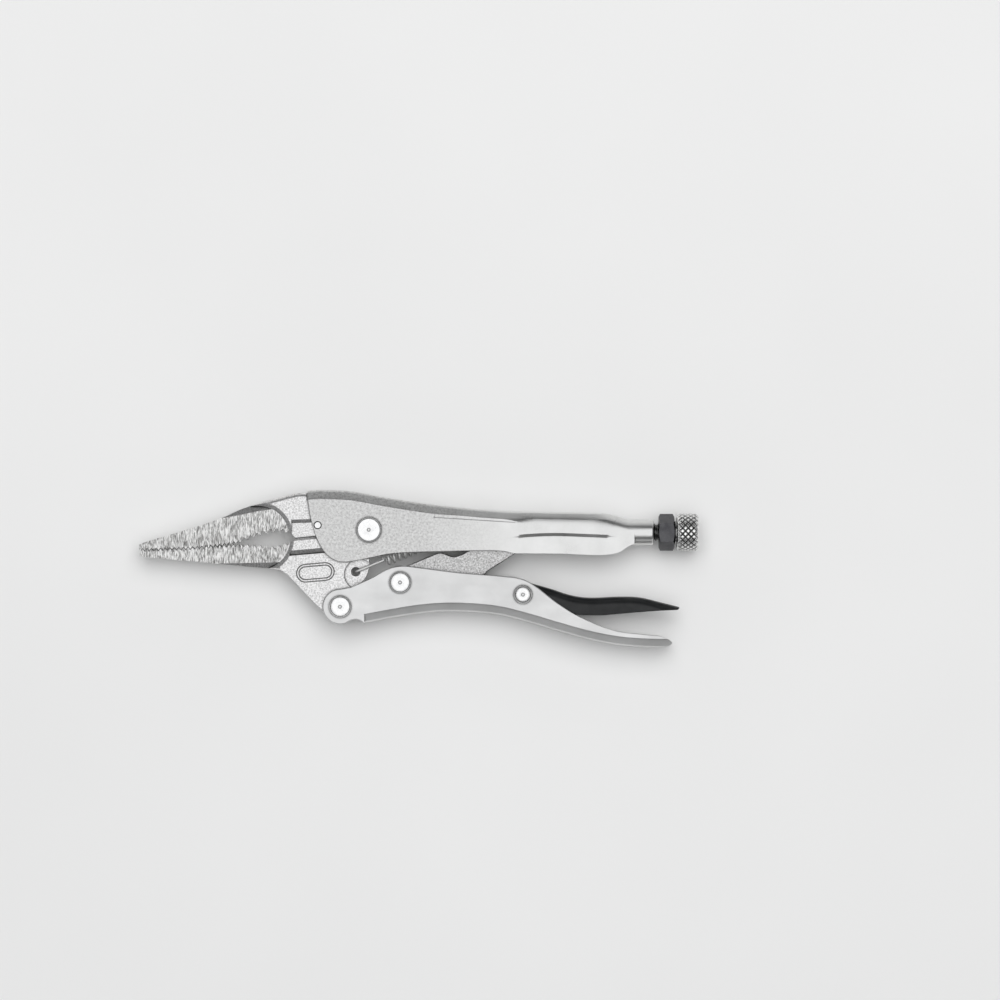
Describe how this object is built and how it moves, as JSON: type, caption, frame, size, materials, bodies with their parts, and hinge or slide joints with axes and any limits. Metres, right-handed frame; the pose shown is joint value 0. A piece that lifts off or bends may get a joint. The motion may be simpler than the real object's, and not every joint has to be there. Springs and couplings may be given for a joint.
{
  "type": "locking pliers",
  "caption": "Long-nose locking pliers with a toggle-locking lever, release lever and knurled adjusting screw, lying on one side, jaws closed.",
  "frame": {"origin": "centre of the overall box in X and Y, on the surface that the rivet heads lie on (Z = 0)", "axes": "+X from the nose towards the adjusting screw, +Y from the lever towards the upper handle, +Z through the rivets, up from the surface"},
  "size_m": [0.1578, 0.0444, 0.0127],
  "materials": {
    "nickel_sheet": "satin nickel plate, finely pebbled in front",
    "ground_steel": "nickel-plated forging with coarse cross-ground noses",
    "rivet_steel": "bright low domes",
    "sanded_steel": "sand-blasted and plated",
    "black_oxide": "satin black",
    "screw_steel": "bright plated, knob diamond-knurled",
    "spring_wire": "plated wire"
  },
  "bodies": {
    "handle": {"upper_handle": "nickel_sheet", "upper_jaw": "ground_steel", "jaw_locating_pin": "rivet_steel", "main_rivet": "rivet_steel", "tension_spring": "spring_wire"},
    "jaw": {"lower_jaw": "ground_steel", "lever_rivet": "rivet_steel"},
    "lever": {"lever": "nickel_sheet", "link_rivet": "rivet_steel", "release_rivet": "rivet_steel"},
    "link": {"toggle_link": "sanded_steel"},
    "release": {"release_lever": "black_oxide"},
    "screw": {"adjusting_screw": "screw_steel"},
    "knob": {"adjusting_knob": "screw_steel"},
    "nut": {"lock_nut": "black_oxide"}
  },
  "joints": [
    {"name": "jaw_hinge", "type": "hinge", "parent": "handle", "child": "jaw", "pos_m": [-0.01405, 0.01102, 0.00635], "axis": [0, 0, 1], "range_deg": [0, 15.9], "deforming": ["tension_spring"]},
    {"name": "lever_hinge", "type": "hinge", "parent": "jaw", "child": "lever", "pos_m": [-0.02211, -0.01059, 0.00635], "axis": [0, 0, -1], "range_deg": [0, 54]},
    {"name": "link_hinge", "type": "hinge", "parent": "lever", "child": "link", "pos_m": [-0.00526, -0.00377, 0.00635], "axis": [0, 0, 1], "range_deg": [0, 59.8]},
    {"name": "release_hinge", "type": "hinge", "parent": "lever", "child": "release", "pos_m": [0.02925, -0.00718, 0.00635], "axis": [0, 0, -1], "range_deg": [0, 8]},
    {"name": "screw_slide", "type": "slide", "parent": "handle", "child": "screw", "axis": [1, 0, 0], "range_m": [0, 0.004]},
    {"name": "knob_turn", "type": "hinge", "parent": "screw", "child": "knob", "pos_m": [0.0751, 0.01026, 0.00635], "axis": [1, 0, 0], "range_deg": [0, 1801]},
    {"name": "nut_turn", "type": "hinge", "parent": "screw", "child": "nut", "pos_m": [0.06975, 0.01026, 0.00635], "axis": [1, 0, 0], "range_deg": [-90, 90]}
  ],
  "couplings": [
    {"joint": "jaw_hinge", "follows": "lever_hinge", "ratio": 0.294},
    {"joint": "link_hinge", "follows": "lever_hinge", "ratio": 1.107},
    {"joint": "knob_turn", "follows": "screw_slide", "rad_per_m": 7854}
  ]
}
